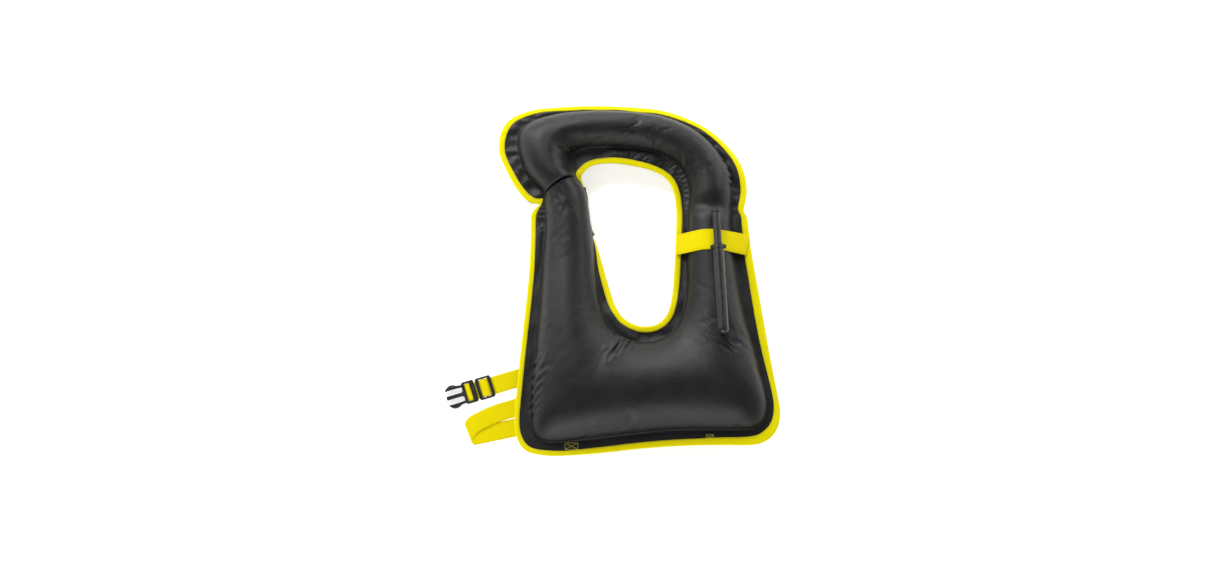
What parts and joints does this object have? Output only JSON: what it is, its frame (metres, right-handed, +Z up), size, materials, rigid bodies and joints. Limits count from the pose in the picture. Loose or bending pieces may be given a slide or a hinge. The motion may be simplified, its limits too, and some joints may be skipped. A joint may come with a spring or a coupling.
{
  "type": "inflatable life jacket",
  "caption": "Inflated horse-collar snorkel vest lying on its back: black covers, yellow edge tape, oral inflator on the lobe, waist strap with side-release buckle.",
  "frame": {"origin": "middle of the footprint, on the floor", "axes": "+X to the right of the vest seen from the front, +Y towards the collar, +Z up through its thickness"},
  "size_m": [0.5533, 0.5998, 0.1063],
  "materials": {
    "nylon_black": "satin",
    "bladder_film": "satin",
    "tape_yellow": "matte",
    "webbing_yellow": "matte",
    "thread_yellow": "matte",
    "rubber_black": "satin",
    "plastic_black": "satin",
    "spring_steel": "satin"
  },
  "bodies": {
    "vest": {"front_cover_bib": "nylon_black", "back_cover_bib": "nylon_black", "bladder_bib": "bladder_film", "bib_edge_binding": "tape_yellow", "bib_neck_binding": "tape_yellow", "retainer_band": "webbing_yellow", "hose_port": "rubber_black", "hem_stitch_left": "thread_yellow", "hem_stitch_right": "thread_yellow", "hem_tab_left": "webbing_yellow", "hem_tab_right": "webbing_yellow", "waist_strap": "webbing_yellow", "loop_strap": "webbing_yellow", "buckle_socket": "plastic_black"},
    "collar": {"front_cover_collar": "nylon_black", "back_cover_collar": "nylon_black", "bladder_collar": "bladder_film", "collar_edge_binding": "tape_yellow", "collar_neck_binding": "tape_yellow"},
    "hose": {"inflation_hose": "rubber_black", "valve_body": "plastic_black", "valve_spring": "spring_steel"},
    "lock_ring": {"valve_lock_ring": "plastic_black"},
    "mouthpiece": {"mouthpiece": "plastic_black", "valve_seal": "plastic_black"},
    "slider": {"strap_slider": "plastic_black", "strap_weave": "webbing_yellow"},
    "buckle": {"buckle_frame": "plastic_black", "strap_loop": "webbing_yellow"},
    "latch_left": {"buckle_latch_left": "plastic_black"},
    "latch_right": {"buckle_latch_right": "plastic_black"}
  },
  "joints": [
    {"name": "collar_fold", "type": "hinge", "parent": "vest", "child": "collar", "pos_m": [0.16562, 0.12375, 0.038], "axis": [0.9942, -0.1076, 0], "range_deg": [0, 35]},
    {"name": "hose_swing", "type": "hinge", "parent": "vest", "child": "hose", "pos_m": [0.18062, -0.09825, 0.0973], "axis": [0.9987, 0.0506, 0], "range_deg": [0, 70]},
    {"name": "mouthpiece_press", "type": "slide", "parent": "hose", "child": "mouthpiece", "axis": [0.0505, -0.997, 0.0593], "range_m": [0, 0.006], "stiffness_N_per_m": 300, "deforming": ["valve_spring"]},
    {"name": "lock_ring_turn", "type": "hinge", "parent": "hose", "child": "lock_ring", "pos_m": [0.17345, 0.04332, 0.08888], "axis": [-0.0505, 0.997, -0.0593], "range_deg": [0, 45]},
    {"name": "slider_travel", "type": "slide", "parent": "vest", "child": "slider", "axis": [0.9553, 0.2957, 0], "range_m": [0, 0.04], "deforming": ["strap_weave"]},
    {"name": "buckle_follow", "type": "slide", "parent": "slider", "child": "buckle", "axis": [0.9553, 0.2957, 0], "range_m": [-0.02, 0], "deforming": ["strap_loop"]},
    {"name": "latch_left_flex", "type": "hinge", "parent": "buckle", "child": "latch_left", "pos_m": [-0.24396, -0.19968, 0.0046], "axis": [0, 0, -1], "range_deg": [0, 6], "stiffness_Nm_per_rad": 0.2},
    {"name": "latch_right_flex", "type": "hinge", "parent": "buckle", "child": "latch_right", "pos_m": [-0.25224, -0.17293, 0.0046], "axis": [0, 0, 1], "range_deg": [0, 6], "stiffness_Nm_per_rad": 0.2}
  ],
  "couplings": [
    {"joint": "buckle_follow", "follows": "slider_travel", "ratio": -0.5},
    {"joint": "latch_right_flex", "follows": "latch_left_flex", "ratio": 1}
  ]
}
